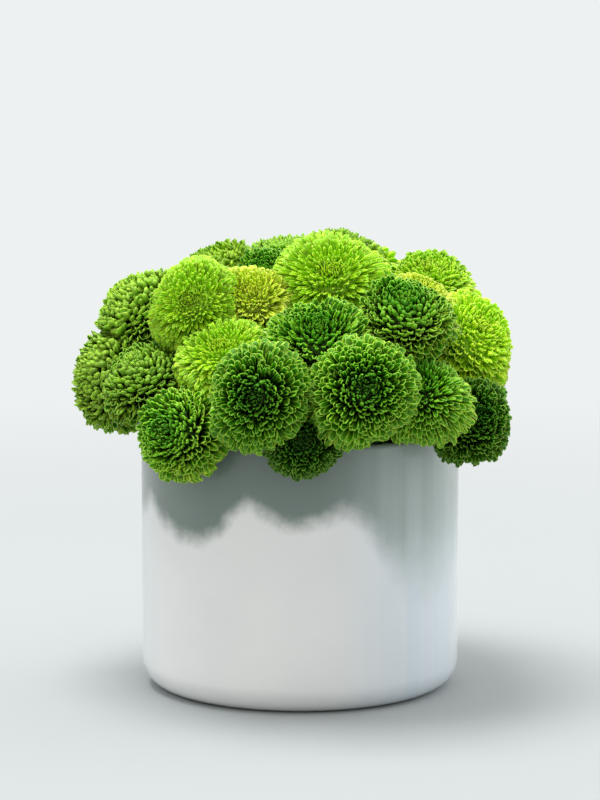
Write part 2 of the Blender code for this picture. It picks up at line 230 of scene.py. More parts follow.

# Styles of florets, by colour, and of blooms that differ: share of the spacing; openness, which
# below zero curves the florets in over the bloom; share of the width; polar angle at which they
# open; tone, from dark to bright, partly the bloom's own green and partly painted shade for heads
# lying in the shade of others; how far out the colours start; how far the tips hood over near the
# eye; and the core's share of the head, larger where no gap between florets is deep
STYLE_FIELDS = ("fine", "open", "slim", "closed", "tone", "eye", "hood", "core")
STYLES = {
    "green": (1.02, -0.06, 1.05, 1.5, 0.48, 0.00, 0.66, 0.58),
    "lime": (0.94, 0.08, 0.98, 1.2, 0.50, 0.20, 0.50, 0.78),
    "yellowing": (0.84, 0.08, 0.94, 1.2, 0.56, 0.20, 0.50, 0.76),
    "front_left_drooping": (0.90, -0.02, 1.10, 1.9, 0.80, 0.08, 0.50, 0.62),
    "left_low": (0.92, -0.12, 1.28, 2.3, 0.30, 0.66, 0.45, 0.68),
    "far_left": (0.92, -0.12, 1.28, 2.4, 0.34, 0.80, 0.45, 0.64),
    "left_shoulder": (0.86, -0.12, 1.28, 2.4, 0.50, 0.72, 0.45, 0.68),
    "left_crest": (0.66, 0.16, 0.96, 1.3, 0.54, 0.34, 0.30, 0.78),
    "back_left_crest": (0.84, -0.10, 1.15, 1.8, 0.06, 0.00, 0.66, 0.78),
    "back_crest": (0.90, 0.00, 1.00, 1.4, 0.06, 0.10, 0.66, 0.78),
    "back_upper_left": (0.84, -0.02, 1.00, 1.8, 0.42, 0.60, 0.66, 0.60),
    "top_left": (0.80, -0.02, 1.05, 1.8, 0.42, 0.16, 0.30, 0.64),
    "top": (0.70, 0.20, 0.94, 1.2, 0.52, 0.30, 0.40, 0.78),
    "top_yellowing": (0.76, 0.14, 0.96, 1.2, 0.64, 0.20, 0.40, 0.76),
    "centre": (0.88, 0.00, 1.12, 2.0, 0.63, 0.14, 0.40, 0.66),
    "front_left": (0.90, 0.00, 1.00, 1.4, 0.60, 0.00, 0.50, 0.58),
    "left_middle": (0.68, 0.18, 0.96, 1.2, 0.50, 0.30, 0.40, 0.78),
    "front_right": (0.90, -0.01, 1.02, 1.5, 0.76, 0.00, 0.50, 0.58),
    "right_shoulder": (0.90, -0.10, 1.24, 2.3, 0.50, 0.18, 0.45, 0.62),
    "right_small": (0.84, 0.16, 0.92, 1.5, 0.74, 0.14, 0.40, 0.62),
    "right": (0.84, 0.02, 1.18, 2.0, 0.78, 0.34, 0.20, 0.80),
    "right_low": (0.84, -0.02, 0.98, 1.7, 0.04, 0.00, 0.50, 0.58),
    "right_crest": (0.82, 0.02, 1.14, 2.0, 0.38, 0.34, 0.20, 0.80),
    # front_low's tone is painted shade: it lies low under the two front heads
    "front_low": (0.92, 0.02, 0.90, 1.7, -0.10, 0.00, 0.50, 0.58),
}

# Camera and floor: distances in metres, lens and sensor in mm, and pixels of a frame 800 high
LOOK_DOWN = math.radians(8)
CAMERA_DISTANCE = 1.230
FOCAL_LENGTH = 135
SENSOR_HEIGHT = 36
FOCAL_PIXELS = 3000
MOUTH_PIXELS = 24.6
FLOOR_RADIUS = 1.5
FLOOR_STEPS = 96
FLOOR_FADE = (0.12, 0.95)

GOLDEN_ANGLE = math.pi * (3 - math.sqrt(5))

# Settings that several nodes share
MULTIPLIED = {"data_type": "RGBA", "blend_type": "MULTIPLY"}
SMOOTHED = {"interpolation_type": "SMOOTHSTEP"}


def linear(hex_colour):
    """An sRGB hex colour as linear RGBA."""
    parts = [int(hex_colour[i:i + 2], 16) / 255 for i in (1, 3, 5)]
    return tuple(c / 12.92 if c <= 0.04045 else ((c + 0.055) / 1.055) ** 2.4 for c in parts) + (1.0,)


def smooth_step(low, high, x):
    """0 below low, 1 above high, and 3t^2 - 2t^3 between them."""
    t = np.clip((x - low) / (high - low), 0, 1)
    return t * t * (3 - 2 * t)


def direction(azimuth, elevation):
    """Unit vector at an azimuth from the front and an elevation, both in degrees."""
    turn = math.radians(azimuth)
    rise = math.radians(elevation)
    return Vector((math.cos(rise) * math.sin(turn), -math.cos(rise) * math.cos(turn), math.sin(rise)))


def scene_object(name, data):
    """An object of some data, put into the scene."""
    item = bpy.data.objects.new(name, data)
    bpy.context.scene.collection.objects.link(item)
    return item


def new_piece(name, points, faces, material, marks=None):
    """A smooth mesh piece at the origin from arrays of points and of faces, with colour marks.

    Faces are arrays of equal-sided polygons; each polygon's corners run anticlockwise from outside.
    """
    mesh = bpy.data.meshes.new(name)
    mesh.vertices.add(len(points))
    mesh.vertices.foreach_set("co", np.asarray(points, np.float32).ravel())
    corners = np.concatenate([f.ravel() for f in faces])
    sizes = np.concatenate([np.full(len(f), f.shape[1]) for f in faces])
    mesh.loops.add(len(corners))
    mesh.loops.foreach_set("vertex_index", corners.astype(np.int32))
    mesh.polygons.add(len(sizes))
    mesh.polygons.foreach_set("loop_start", (np.cumsum(sizes) - sizes).astype(np.int32))
    mesh.polygons.foreach_set("loop_total", sizes.astype(np.int32))
    mesh.update(calc_edges=True)
    mesh.shade_smooth()
    for mark, values in (marks or {}).items():
        attribute = mesh.attributes.new(mark, "FLOAT_COLOR", "POINT")
        attribute.data.foreach_set("color", np.asarray(values, np.float32).ravel())
    mesh.materials.append(material)
    piece = scene_object(name, mesh)
    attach(piece, "root")
    return piece


def add_node(owner, kind, settings=None, links=None):
    """Add a node to a material or world; settings go to its properties or sockets, links to inputs."""
    node = owner.node_tree.nodes.new(kind)
    for key, value in (settings or {}).items():
        if isinstance(key, str) and hasattr(node, key):
            setattr(node, key, value)
        else:
            node.inputs[key].default_value = value
    for key, source in (links or {}).items():
        owner.node_tree.links.new(source, node.inputs[key])
    return node


def blank_material(name):
    """A material with only its output node."""
    material = bpy.data.materials.new(name)
    material.use_nodes = True
    tree = material.node_tree
    for node in list(tree.nodes):
        if node.type != "OUTPUT_MATERIAL":
            tree.nodes.remove(node)
    return material


def finish_material(material, shader):
    """Link a shader to the material's output."""
    output = material.node_tree.nodes["Material Output"]
    material.node_tree.links.new(shader.outputs[0], output.inputs["Surface"])
    return material


def fresh_florets(name, eye, middle, outer, oldest, rim, root, hollow):
    """Fresh ray florets: thin, moist, slightly waxy tissue, grown, so no two are quite alike.

    The mark's red runs from root to tip. Its green runs from midrib to rim, and is below zero on the
    hollow side. Its blue is each floret's own chance, and its alpha runs from the eye to the
    skirt. The eye sees a deep green bud in the middle, a clearer green outside that yellows in the
    oldest florets of the skirt, and fine veins. Roots and hollows are darker as painted shade, for the
    shade deep between the florets and inside their cups, and rims and tips are paler as a painted
    highlight.
    """
    material = blank_material(name)
    mark = add_node(material, "ShaderNodeAttribute", {"attribute_name": "floret"})
    split = add_node(material, "ShaderNodeSeparateColor", {}, {0: mark.outputs["Color"]})
    along, across, chance = split.outputs
    place = mark.outputs["Alpha"]
    past_eye = add_node(material, "ShaderNodeMapRange", {"From Min": 0.06, "From Max": 0.26},
                        {"Value": place})
    inner = add_node(material, "ShaderNodeMix", {"data_type": "RGBA", 6: linear(eye), 7: linear(middle)},
                     {0: past_eye.outputs[0]})
    past_middle = add_node(material, "ShaderNodeMapRange", {"From Min": 0.18, "From Max": 0.60},
                           {"Value": place})
    highlight_place = add_node(material, "ShaderNodeMapRange", {"From Min": 0.14, "From Max": 0.50, "To Max": 0.30},
                         {"Value": place})
    opened = add_node(material, "ShaderNodeMix", {"data_type": "RGBA", 7: linear(outer)},
                      {0: past_middle.outputs[0], 6: inner.outputs[2]})
    ageing = add_node(material, "ShaderNodeMapRange", {"From Min": 0.60, "From Max": 1.0}, {"Value": place})
    body = add_node(material, "ShaderNodeMix", {"data_type": "RGBA", 7: linear(oldest)},
                    {0: ageing.outputs[0], 6: opened.outputs[2]})
    # Painted shade: darker towards each floret's root, for the shade deep between the florets
    depth = add_node(material, "ShaderNodeMapRange", {"From Min": 0.40, "From Max": 0.88,
                                                      "To Min": 1.0, "To Max": 0.0}, {"Value": along})
    root_shaded = add_node(material, "ShaderNodeMix", {**MULTIPLIED, 7: linear(root)},
                      {0: depth.outputs[0], 6: body.outputs[2]})
    # Painted shade: darker on the hollow side, for the shade inside each floret's cup
    inside = add_node(material, "ShaderNodeMapRange", {"From Min": 0.25, "From Max": -0.35},
                      {"Value": across})
    hollow_shaded = add_node(material, "ShaderNodeMix", {**MULTIPLIED, 7: linear(hollow)},
                        {0: inside.outputs[0], 6: root_shaded.outputs[2]})
    vein_turn = add_node(material, "ShaderNodeMath", {"operation": "MULTIPLY", 1: 19.0}, {0: across})
    vein_wave = add_node(material, "ShaderNodeMath", {"operation": "COSINE"}, {0: vein_turn.outputs[0]})
    vein = add_node(material, "ShaderNodeMapRange", {"From Min": -1.0, "To Max": 0.18},
                    {"Value": vein_wave.outputs[0]})
    veined = add_node(material, "ShaderNodeMix", {**MULTIPLIED, 7: linear("#b4c884")},
                      {0: vein.outputs[0], 6: hollow_shaded.outputs[2]})
    # Painted highlight: rims near the tip and the very tip turn towards the rim colour, more so away from the
    # eye
    tip = add_node(material, "ShaderNodeMapRange", {"From Min": 0.70, "From Max": 0.95}, {"Value": along})
    edge = add_node(material, "ShaderNodeMapRange", {"From Min": 0.86, "From Max": 1.0}, {"Value": across})
    edge_near_tip = add_node(material, "ShaderNodeMath", {"operation": "MULTIPLY"},
                             {0: edge.outputs[0], 1: tip.outputs[0]})
    very_tip = add_node(material, "ShaderNodeMapRange", {"From Min": 0.955, "From Max": 1.0},
                        {"Value": along})
    pale = add_node(material, "ShaderNodeMath", {"operation": "MAXIMUM", "use_clamp": True},
                    {0: edge_near_tip.outputs[0], 1: very_tip.outputs[0]})
    highlight_outside = add_node(material, "ShaderNodeMath", {"operation": "MULTIPLY"},
                            {0: pale.outputs[0], 1: highlight_place.outputs[0]})
    highlighted_rim = add_node(material, "ShaderNodeMix", {"data_type": "RGBA", 7: linear(rim)},
                      {0: highlight_outside.outputs[0], 6: veined.outputs[2]})
    turned_hue = add_node(material, "ShaderNodeMapRange", {"To Min": 0.508, "To Max": 0.492},
                          {"Value": chance})
    brightness = add_node(material, "ShaderNodeMapRange", {"To Min": 0.50, "To Max": 1.50},
                          {"Value": chance})
    varied = add_node(material, "ShaderNodeHueSaturation", {},
                      {"Hue": turned_hue.outputs[0], "Value": brightness.outputs[0],
                       "Color": highlighted_rim.outputs[2]})
    shader = add_node(material, "ShaderNodeBsdfPrincipled",
                      {"Roughness": 0.42, "IOR": 1.36, "Specular IOR Level": 0.36, "Subsurface Weight": 0.45,
                       "Subsurface Radius": (0.6, 1.0, 0.12), "Subsurface Scale": 1.1 * MM},
                      {"Base Color": varied.outputs["Color"]})
    return finish_material(material, shader)


def glaze_with_painted_reflection(name, grey, white, thin, bisque):
    """Glossy ceramic glaze with a painted reflection: grey-green above a soft line, white below it.

    The white stands for the reflection of a white cloth round the vase's foot, the grey for darker
    surroundings above it. The mark's red is the height of the line between them at that turn of
    the vase, its green how softly they blend there, and its blue the share of a paler painted sheen
    for bright surroundings, mostly on the right. The eye sees a soft mountain line with a frayed
    edge, clouds over both tones, a paler rim that is a painted highlight, the sheen in upright
    streaks, a faint waviness in the gloss, and a matt foot where the vase stood in the kiln.
    """
    material = blank_material(name)
    place = add_node(material, "ShaderNodeTexCoord").outputs["Object"]
    height = add_node(material, "ShaderNodeSeparateXYZ", {}, {0: place}).outputs[2]
    mark = add_node(material, "ShaderNodeAttribute", {"attribute_name": "painted_reflection_line"})
    split = add_node(material, "ShaderNodeSeparateColor", {}, {0: mark.outputs["Color"]})
    frays = add_node(material, "ShaderNodeTexNoise",
                     {"Scale": 1 / (9 * MM), "Detail": 5.0, "Roughness": 0.65}, {"Vector": place})
    fray = add_node(material, "ShaderNodeMapRange", {"From Min": 0.3, "From Max": 0.7,
                                                     "To Min": -1.8 * MM, "To Max": 1.8 * MM},
                    {"Value": frays.outputs["Fac"]})
    # Painted reflection: white below the line for a white cloth's reflection, grey above it for darker
    # surroundings
    above_line = add_node(material, "ShaderNodeMath", {"operation": "SUBTRACT"},
                          {0: height, 1: split.outputs[0]})
    frayed = add_node(material, "ShaderNodeMath", {"operation": "ADD"},
                      {0: above_line.outputs[0], 1: fray.outputs[0]})
    blended = add_node(material, "ShaderNodeMath", {"operation": "DIVIDE"},
                      {0: frayed.outputs[0], 1: split.outputs[1]})
    reflected_grey_share = add_node(material, "ShaderNodeMapRange", {**SMOOTHED, "From Min": -1.0},
                          {"Value": blended.outputs[0]})
    clouds = add_node(material, "ShaderNodeTexNoise", {"Scale": 1 / (38 * MM), "Detail": 3.0},
                      {"Vector": place})
    cloud = add_node(material, "ShaderNodeMapRange", {"From Min": 0.3, "From Max": 0.7, "To Max": 0.25},
                     {"Value": clouds.outputs["Fac"]})
    # Painted sheen: where the mark's blue is high, the grey and the white turn paler in upright streaks, for
    # the reflection of bright surroundings
    upright = add_node(material, "ShaderNodeMapping", {"Scale": (1.0, 1.0, 0.02)}, {"Vector": place})
    runs = add_node(material, "ShaderNodeTexNoise", {"Scale": 1 / (7 * MM), "Detail": 2.0},
                    {"Vector": upright.outputs[0]})
    run = add_node(material, "ShaderNodeMapRange", {"From Min": 0.35, "From Max": 0.65,
                                                    "To Min": 0.80, "To Max": 1.12},
                   {"Value": runs.outputs["Fac"]})
    sheen_share = add_node(material, "ShaderNodeMath", {"operation": "MULTIPLY", "use_clamp": True},
                        {0: run.outputs[0], 1: split.outputs[2]})
    reflected_grey = add_node(material, "ShaderNodeMix", {"data_type": "RGBA", 6: linear(grey), 7: linear(thin)},
                    {0: sheen_share.outputs[0]})
    reflected_white = add_node(material, "ShaderNodeMix", {"data_type": "RGBA", 6: linear(white), 7: linear("#d8e2ea")},
                     {0: sheen_share.outputs[0]})
    painted_reflection = add_node(material, "ShaderNodeMix", {"data_type": "RGBA"},
                        {0: reflected_grey_share.outputs[0], 6: reflected_white.outputs[2], 7: reflected_grey.outputs[2]})
    clouded = add_node(material, "ShaderNodeMix", {**MULTIPLIED, 7: linear("#dfe5e6")},
                       {0: cloud.outputs[0], 6: painted_reflection.outputs[2]})
    # Painted highlight: the top of the rim turns part way to the pale sheen colour
    rim_highlight_share = add_node(material, "ShaderNodeMapRange",
                         {**SMOOTHED, "From Min": VASE_HEIGHT - 2.2 * MM,
                          "From Max": VASE_HEIGHT - 0.4 * MM, "To Max": 0.55}, {"Value": height})
    highlighted_rim = add_node(material, "ShaderNodeMix", {"data_type": "RGBA", 7: linear(thin)},
                      {0: rim_highlight_share.outputs[0], 6: clouded.outputs[2]})
    foot_share = add_node(material, "ShaderNodeMapRange", {"From Min": 0.5 * MM, "From Max": 0.3 * MM},
                          {"Value": height})
    colour = add_node(material, "ShaderNodeMix", {"data_type": "RGBA", 7: linear(bisque)},
                      {0: foot_share.outputs[0], 6: highlighted_rim.outputs[2]})
    gloss = add_node(material, "ShaderNodeMapRange", {"To Min": 0.24, "To Max": 0.85},
                     {"Value": foot_share.outputs[0]})
    waves = add_node(material, "ShaderNodeTexNoise", {"Scale": 1 / (16 * MM), "Detail": 2.0},
                     {"Vector": place})
    bump = add_node(material, "ShaderNodeBump", {"Strength": 0.25, "Distance": 0.35 * MM},
                    {"Height": waves.outputs["Fac"]})
    shader = add_node(material, "ShaderNodeBsdfPrincipled", {"IOR": 1.45, "Coat Weight": 0.3,
                                                             "Coat Roughness": 0.10, "Coat IOR": 1.45},
                      {"Base Color": colour.outputs[2], "Roughness": gloss.outputs[0],
                       "Normal": bump.outputs[0]})
    return finish_material(material, shader)


def wet_foam(name, light, dark):
    """Phenolic floral foam, soaked and cut by hand: dark, fine-celled and dull.

    Cells of 0.3 mm are drawn as 0.9 mm so that they show.
    """
    material = blank_material(name)
    place = add_node(material, "ShaderNodeTexCoord").outputs["Object"]
    cells = add_node(material, "ShaderNodeTexVoronoi", {"Scale": 1 / (0.9 * MM)}, {"Vector": place})
    patches = add_node(material, "ShaderNodeTexNoise", {"Scale": 1 / (7 * MM), "Detail": 4.0},
                       {"Vector": place})
    colour = add_node(material, "ShaderNodeMix", {"data_type": "RGBA", 6: linear(dark), 7: linear(light)},
                      {0: patches.outputs["Fac"]})
    bump = add_node(material, "ShaderNodeBump", {"Strength": 0.8, "Distance": 0.4 * MM},
                    {"Height": cells.outputs["Distance"]})
    shader = add_node(material, "ShaderNodeBsdfPrincipled", {"Roughness": 0.9},
                      {"Base Color": colour.outputs[2], "Normal": bump.outputs[0]})
    return finish_material(material, shader)


def fresh_stem(name, light, dark):
    """Cut chrysanthemum stems: ribbed along their length, a little waxy, streaked with fibres.

    Ribs of 0.4 mm run along the stem, so the pattern is stretched upwards.
    """
    material = blank_material(name)
    place = add_node(material, "ShaderNodeTexCoord").outputs["Object"]
    stretched = add_node(material, "ShaderNodeMapping", {"Scale": (1.0, 1.0, 0.06)}, {"Vector": place})
    fibres = add_node(material, "ShaderNodeTexNoise", {"Scale": 1 / (0.8 * MM), "Detail": 3.0},
                      {"Vector": stretched.outputs[0]})
    streak = add_node(material, "ShaderNodeMapRange", {"From Min": 0.35, "From Max": 0.65},
                      {"Value": fibres.outputs["Fac"]})
    colour = add_node(material, "ShaderNodeMix", {"data_type": "RGBA", 6: linear(dark), 7: linear(light)},
                      {0: streak.outputs[0]})
    bump = add_node(material, "ShaderNodeBump", {"Strength": 0.5, "Distance": 0.2 * MM},
                    {"Height": fibres.outputs["Fac"]})
    shader = add_node(material, "ShaderNodeBsdfPrincipled", {"Roughness": 0.5, "Subsurface Weight": 0.1,
                                                             "Subsurface Radius": (0.5, 1.0, 0.2),
                                                             "Subsurface Scale": 1.0 * MM},
                      {"Base Color": colour.outputs[2], "Normal": bump.outputs[0]})
    return finish_material(material, shader)


def read_blooms():
    """Turn the table into middles, radii and facing directions."""
    mouth = Vector((0, 0, VASE_HEIGHT))
    return [{"name": name, "middle": mouth + direction(azimuth, elevation) * reach * MM,
             "radius": width / 2 * MM, "facing": direction(face_turn, face_rise), "colour": colour}
            for name, azimuth, elevation, reach, width, face_turn, face_rise, colour in BLOOMS]


def pressing_planes(bloom, blooms):
    """Planes that a head ends at, as (normal, distance, filled), with filled true at neighbours.

    Between two heads it is the plane whose points have the same power to both, so it runs through
    the circle where they meet. The others lie towards the vase's rim and at a flattened side.
    """
    planes = []
    middle = bloom["middle"]
    for other in blooms:
        across = other["middle"] - middle
        distance = across.length
        if other is bloom or distance > bloom["radius"] + other["radius"] + NEAR:
            continue
        powers = bloom["radius"] ** 2 - other["radius"] ** 2
        limit = (distance + powers / distance) / 2 - PRESS_CLEARANCE
        planes.append((np.array(across / distance), limit, True))
    outward = Vector((middle.x, middle.y, 0))
    if outward.length > VASE_RADIUS:
        rim_point = outward.normalized() * VASE_RADIUS + Vector((0, 0, VASE_HEIGHT))
    else:
        rim_point = Vector((middle.x, middle.y, VASE_HEIGHT))
    to_vase = rim_point - middle
    planes.append((np.array(to_vase.normalized()), to_vase.length - CLEARANCE - INTERLEAVE, False))
    if bloom["name"] in FLATTENED:
        azimuth, elevation, distance = FLATTENED[bloom["name"]]
        planes.append((np.array(direction(azimuth, elevation)), distance * MM, False))
    return planes


def floret_places(radius, fineness, rng):
    """Polar angles and turns of the florets: a golden-angle spiral whose spacing widens outwards.

    The count of florets inside a polar angle is the integral of the head's surface over the area
    that each takes there, a share of its spacing squared. Floret k sits where that count reaches
    k + 1/2, moved a little by chance.
    """
    polar = np.linspace(0, LOWEST_FLORET, COUNTING_STEPS)
    spacing = fineness * np.interp(polar, SPACING_AT, SPACING) * MM
    density = 2 * np.pi * radius ** 2 * np.sin(polar) / (AREA_SHARE * spacing ** 2)
    count = np.concatenate([[0], np.cumsum((density[1:] + density[:-1]) / 2 * np.diff(polar))])
    number = np.arange(int(count[-1])) + 0.5
    angle = np.interp(number, count, polar)
    pitch = np.interp(angle, polar, spacing)
    turn = number * GOLDEN_ANGLE
    scatter = SCATTER * pitch / radius
    angle = np.abs(angle + rng.normal(0, 1, len(number)) * scatter)
    turn = turn + rng.normal(0, 1, len(number)) * scatter / np.maximum(np.sin(angle), 0.15)
    return angle, turn, pitch


def on_head(polar, turn, share, radius):
    """Points on the head's ellipsoid at a share of its size."""
    size = share * radius
    return np.stack([size * np.sin(polar) * np.cos(turn), size * np.sin(polar) * np.sin(turn),
                     size * HEAD_CROWN * np.cos(polar)], axis=-1)


def unit(v):
    """Vectors scaled to length one."""
    return v / np.maximum(np.linalg.norm(v, axis=-1, keepdims=True), 1e-12)


def floret_paths(polar, turn, pitch, radius, style, along, rng):
    """Paths of the florets, with the directions ahead, aside and up at their points, and widths.

    A path is the quadratic curve from a root inside the core, over a belly, to a tip near the
    head's outline. The tip leans in near the eye, and outwards in open blooms and at the skirt.
    From HOOD_FROM on the path bends, with the square of the length beyond, up into a hood and
    aside by chance.
    """
    count = len(polar)
    age = polar / style["closed"]
    inward = 1 - smooth_step(*TURNING_OUT, age)
    past_bud = smooth_step(*LEAVING_BUD, age)
    skirt = smooth_step(*SKIRT, polar)
    lumps = rng.uniform(0, 2 * math.pi, 2)
    swell = (TWO_LUMPS * np.sin(polar) * np.cos(2 * turn + lumps[0])
             + THREE_LUMPS * np.cos(3 * turn + lumps[1]))
    reach = rng.uniform(*REACH, count) + rng.uniform(*SKIRT_REACH, count) * skirt
    reach = reach + swell * smooth_step(*SWELLING, polar)
    opened = style["open"] * smooth_step(*OPENING, polar)
    incurved = np.maximum(-opened, 0)
    lean = EYE_LEAN * np.sin(np.clip(polar, 0, 0.9) / 0.9 * math.pi) + SKIRT_LEAN * skirt
    lean = lean + opened + rng.normal(0, LEAN_SPREAD, count)
    root = on_head(0.88 * polar, turn, ROOT_DEPTH, radius)[:, None]
    belly = on_head(0.96 * polar + 0.05 + 0.35 * incurved, turn, BELLY_DEPTH + 0.45 * incurved, radius)
    belly = belly[:, None]
    tip = on_head(polar + lean, turn, reach, radius)[:, None]
    t = along[None, :, None]
    path = (1 - t) ** 2 * root + 2 * t * (1 - t) * belly + t ** 2 * tip

    side = np.stack([-np.sin(turn), np.cos(turn), np.zeros(count)], axis=-1)[:, None]
    ahead = unit(np.gradient(path, axis=1))
    upward = unit(np.cross(ahead, side))
    width = pitch * np.interp(age, WIDTH_AT, WIDTH) * style["slim"]
    width = width * (1 + rng.normal(0, WIDTH_SPREAD, count))
    hood = width * (LEAST_HOOD + style["hood"] * past_bud * inward - SKIRT_DROOP * skirt)
    hood = hood * rng.uniform(*HOOD_CHANCE, count)
    sway = width * rng.normal(0, SWAY_SPREAD, count)
    bend = np.clip((along - HOOD_FROM) / (1 - HOOD_FROM), 0, 1) ** 2
    path = path + (upward * hood[:, None, None] + side * sway[:, None, None]) * bend[None, :, None]
    ahead = unit(np.gradient(path, axis=1))
    roll = rng.normal(0, ROLL_SPREAD, count)[:, None, None]
    side = unit(side * np.cos(roll) + np.cross(ahead, side) * np.sin(roll))
    upward = unit(np.cross(ahead, side))
    return path, ahead, side, upward, width


def florets(polar, turn, pitch, radius, style, stations, section, rng):
    """Spoon-shaped florets as closed blades: a crescent section carried along each path.

    The section is an arc whose edges rise towards the eye. Its chord is the floret's width there,
    and a place s from -1 to 1 across it lies at s times half the curl. An outer and an inner skin
    meet at the edges. The edges lag behind the middle with s squared, so the tip is round.
    """
    count = len(polar)
    along = np.array(stations)
    path, ahead, side, upward, width = floret_paths(polar, turn, pitch, radius, style, along, rng)
    age = polar / style["closed"]
    blunt = POINTED_TIP + BLUNTER_TIP * smooth_step(*BLUNTING, age)
    taper = np.interp(along, TAPER_AT, TAPER)[None] + blunt[:, None] * (along == 1.0)
    curl = np.interp(age, CURL_AT, CURL)[:, None] * np.interp(along, ALONG_AT, CURL_SHARE)[None]
    back, hollow, _ = section
    across = np.array(back + hollow)
    skin = np.array([0] + [0.5] * (len(back) - 2) + [0] + [-0.5] * len(hollow)) * BLADE
    chord = width[:, None] * taper
    bow = (chord / (2 * np.sin(np.minimum(curl, math.pi) / 2)))[..., None]
    angle = (curl / 2)[..., None] * across
    shift = (bow + skin) * np.sin(angle)
    lift = bow - (bow + skin) * np.cos(angle)
    spoon = LEAST_LAG + (1 - LEAST_LAG) * smooth_step(*SPOONING, age)
    lag = np.interp(along, ALONG_AT, LAG)[None] * (width * spoon)[:, None]
    advance = -lag[..., None] * across ** 2
    points = (path[:, :, None] + side[:, :, None] * shift[..., None]
              + upward[:, :, None] * lift[..., None] + ahead[:, :, None] * advance[..., None])

    chance = np.clip(rng.normal(style["tone"], TONE_SPREAD, count), 0, 1)
    marks = np.empty((count, len(along), len(across), 4))
    marks[..., 0] = along[None, :, None]
    marks[..., 1] = np.where(skin < 0, -np.abs(across), np.abs(across))[None, None]
    marks[..., 2] = chance[:, None, None]
    marks[..., 3] = np.maximum(polar / LOWEST_FLORET, style["eye"])[:, None, None]
    return points, marks


def blade_faces(count, rings, section, first):
    """Corner numbers of closed blades: quads between stations, and triangles that close both ends."""
    back, hollow, closing = section
    around = len(back) + len(hollow)
    ring = np.arange(around)
    onward = (ring + 1) % around
    bands = [np.stack([r * around + ring, (r + 1) * around + ring, (r + 1) * around + onward,
                       r * around + onward], axis=-1) for r in range(rings - 1)]
    ends = np.concatenate([closing, ((rings - 1) * around + np.array(closing))[:, ::-1]])
    offsets = (first + np.arange(count) * rings * around)[:, None, None]
    return (offsets + np.concatenate(bands)[None]).reshape(-1, 4), (offsets + ends[None]).reshape(-1, 3)


def in_sight(tips, blooms):
    """Which points some view from the side or from above could reach past all the heads.

    From each point a ray goes out in every direction of an even spiral. It is stopped by a ball
    of SCREEN times a head's radius where its distance from the ray is below that.
    """
    number = np.arange(SIGHT_RAYS) + 0.5
    height = 1 - (1 - LOWEST_SIGHT) * number / SIGHT_RAYS
    level = np.sqrt(1 - height ** 2)
    turn = number * GOLDEN_ANGLE
    views = np.stack([level * np.cos(turn), level * np.sin(turn), height], axis=-1)
    blocked = np.zeros((len(tips), len(views)), bool)
    for other in blooms:
        to_middle = np.array(other["middle"]) - tips
        ahead = to_middle @ views.T
        aside = (to_middle ** 2).sum(axis=1)[:, None] - ahead ** 2
        blocked |= (ahead > 0) & (aside < (SCREEN * other["radius"]) ** 2)
    return ~blocked.all(axis=1)


def core(radius, share):
    """A closed core that the florets stand on: a turned profile from the crown to the seat.

    The profile follows the head's ellipse at a share of its size, then runs to the seat's edge.
    """
    polar = np.linspace(0, CORE_EDGE, CORE_ROWS + 1)[1:]
    shell = [(share * radius * math.sin(a), share * radius * HEAD_CROWN * math.cos(a)) for a in polar]
    profile = [*shell, (SEAT_WIDTH * radius, -SEAT_DEPTH * radius)]
    turn = np.arange(CORE_STEPS) * 2 * math.pi / CORE_STEPS
    rows = [np.stack([r * np.cos(turn), r * np.sin(turn), np.full(CORE_STEPS, z)], axis=-1)
            for r, z in profile]
    points = np.concatenate([[[0, 0, share * radius * HEAD_CROWN]], *rows, [[0, 0, -SEAT_DEPTH * radius]]])
    ring = np.arange(CORE_STEPS)
    onward = (ring + 1) % CORE_STEPS
    starts = 1 + np.arange(len(profile)) * CORE_STEPS
    quads = np.concatenate([np.stack([upper + ring, lower + ring, lower + onward, upper + onward], axis=-1)
                            for upper, lower in zip(starts, starts[1:])])
    top = np.stack([np.zeros(CORE_STEPS, int), 1 + ring, 1 + onward], axis=-1)
    last = len(points) - 1
    bottom = np.stack([starts[-1] + onward, starts[-1] + ring, np.full(CORE_STEPS, last)], axis=-1)
    marks = np.full((len(points), 4), 0.5)
    return points, quads, np.concatenate([top, bottom]), marks


def floret_lengths(tips, polar, planes):
    """Share of its length that each floret grows to.

    It is 1, and up to 1 + FILL towards a neighbour, less at the skirt. A floret that would pass a
    plane by more than INTERLEAVE is shortened towards the head's middle until it doesn't.
    """
    towards = np.zeros(len(polar))
    length = np.full(len(polar), UNPRESSED)
    for normal, limit, filled in planes:
        depth = tips @ normal
        room = (limit + INTERLEAVE) / np.maximum(depth, 1e-9)
        length = np.minimum(length, np.where(depth > 0, room, UNPRESSED))
        if filled:
            towards = np.maximum(towards, depth / np.linalg.norm(tips, axis=1))
    loss = SKIRT_LOSS * smooth_step(*LOSING_SKIRT, polar)
    growth = FILL * smooth_step(*FILLED_SIDE, towards) * (1 - loss)
    return np.minimum(length, 1 + growth)


